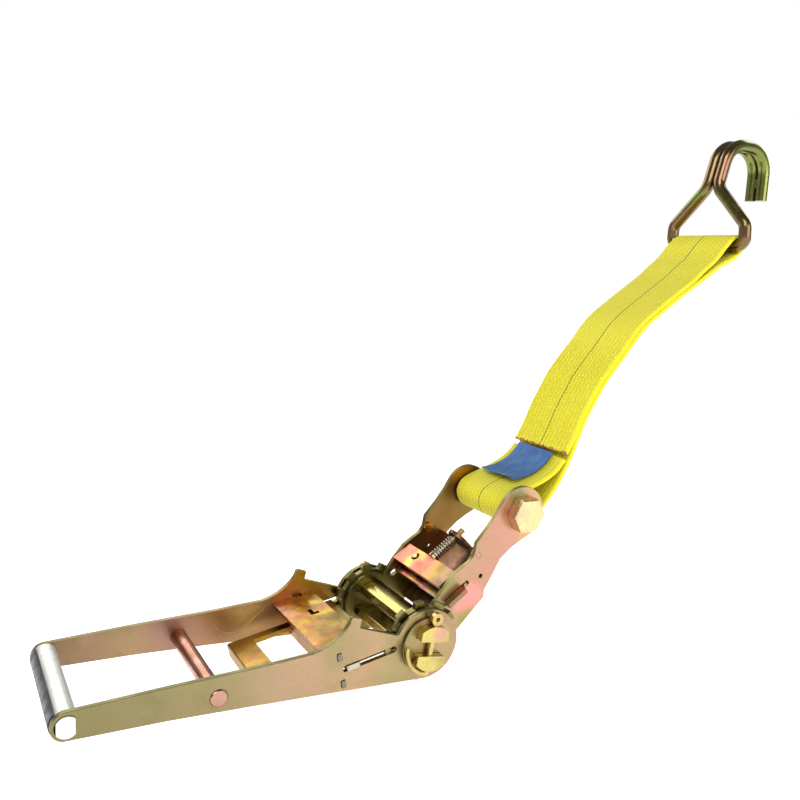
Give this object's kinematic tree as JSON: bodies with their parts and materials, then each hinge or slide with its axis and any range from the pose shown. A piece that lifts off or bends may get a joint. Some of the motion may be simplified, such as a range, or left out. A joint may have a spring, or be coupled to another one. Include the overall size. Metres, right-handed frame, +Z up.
{
  "type": "ratchet tie down",
  "caption": "Heavy duty ratchet buckle with a long wide handle, two ratchet wheels on a split spindle, sprung pawls, a sewn yellow webbing end and a double J wire hook.",
  "frame": {"origin": "on the spindle's axis, midway between the frame plates, in the webbing slot", "axes": "+X from the grip towards the strap, +Y to the buckle's right-hand side seen from the grip with the pawls up, +Z up with the handle level"},
  "size_m": [0.4693, 0.09, 0.3182],
  "materials": {
    "zinc_yellow": "yellow zinc passivate, iridescent",
    "zinc_pink": "yellow zinc passivate, iridescent",
    "bright_zinc": "bright zinc, brushed",
    "black_plastic": "satin",
    "yellow_webbing": "woven polyester webbing",
    "blue_label": "woven tape",
    "zinc_hook": "yellow zinc passivate, iridescent"
  },
  "bodies": {
    "frame": {"frame_plate_left": "zinc_yellow", "frame_plate_right": "zinc_yellow", "frame_bridge": "zinc_yellow", "frame_rivets": "zinc_pink", "anchor_bolt": "zinc_pink", "anchor_nut": "zinc_yellow", "lock_pawl_spring": "bright_zinc"},
    "lock_pawl": {"lock_pawl": "zinc_pink", "lock_pawl_pin": "bright_zinc", "lock_guide_rod": "bright_zinc"},
    "spindle": {"spindle_half_upper": "zinc_yellow", "spindle_half_lower": "zinc_yellow", "ratchet_wheel_left": "zinc_yellow", "ratchet_wheel_right": "zinc_yellow", "spindle_washer_left": "zinc_yellow", "spindle_washer_right": "zinc_yellow", "cotter_pin_left": "zinc_yellow", "cotter_pin_right": "zinc_yellow"},
    "handle": {"handle_plate_left": "zinc_yellow", "handle_plate_right": "zinc_yellow", "grip_bar": "bright_zinc", "grip_cover": "black_plastic", "cross_rod": "zinc_pink", "handle_bracket": "zinc_yellow", "drive_pawl_springs": "bright_zinc"},
    "drive_pawl": {"drive_pawl": "zinc_yellow"},
    "strap": {"strap_webbing": "yellow_webbing", "strap_label": "blue_label"},
    "hook": {"hook_wire": "zinc_hook", "hook_weld": "zinc_hook"}
  },
  "joints": [
    {"name": "handle_swing", "type": "hinge", "parent": "frame", "child": "handle", "pos_m": [0, 0, 0], "axis": [0, 1, 0], "range_deg": [-32.73, 105]},
    {"name": "spindle_turn", "type": "hinge", "parent": "frame", "child": "spindle", "pos_m": [0, 0, 0], "axis": [0, 1, 0], "range_deg": [-720, 720]},
    {"name": "drive_pawl_slide", "type": "slide", "parent": "handle", "child": "drive_pawl", "axis": [-0.984, 0, -0.1781], "range_m": [-0.0038, 0], "stiffness_N_per_m": 900, "springref_m": -0.009},
    {"name": "lock_pawl_slide", "type": "slide", "parent": "frame", "child": "lock_pawl", "axis": [0.8183, 0, 0.5749], "range_m": [-0.0038, 0], "stiffness_N_per_m": 900, "springref_m": -0.009},
    {"name": "strap_swing", "type": "hinge", "parent": "frame", "child": "strap", "pos_m": [0.06579, 0, 0.06431], "axis": [0, 1, 0], "range_deg": [-20, 60]},
    {"name": "hook_swing", "type": "hinge", "parent": "strap", "child": "hook", "pos_m": [0.2304, 0, 0.2246], "axis": [0, 1, 0], "range_deg": [-70, 70]}
  ]
}
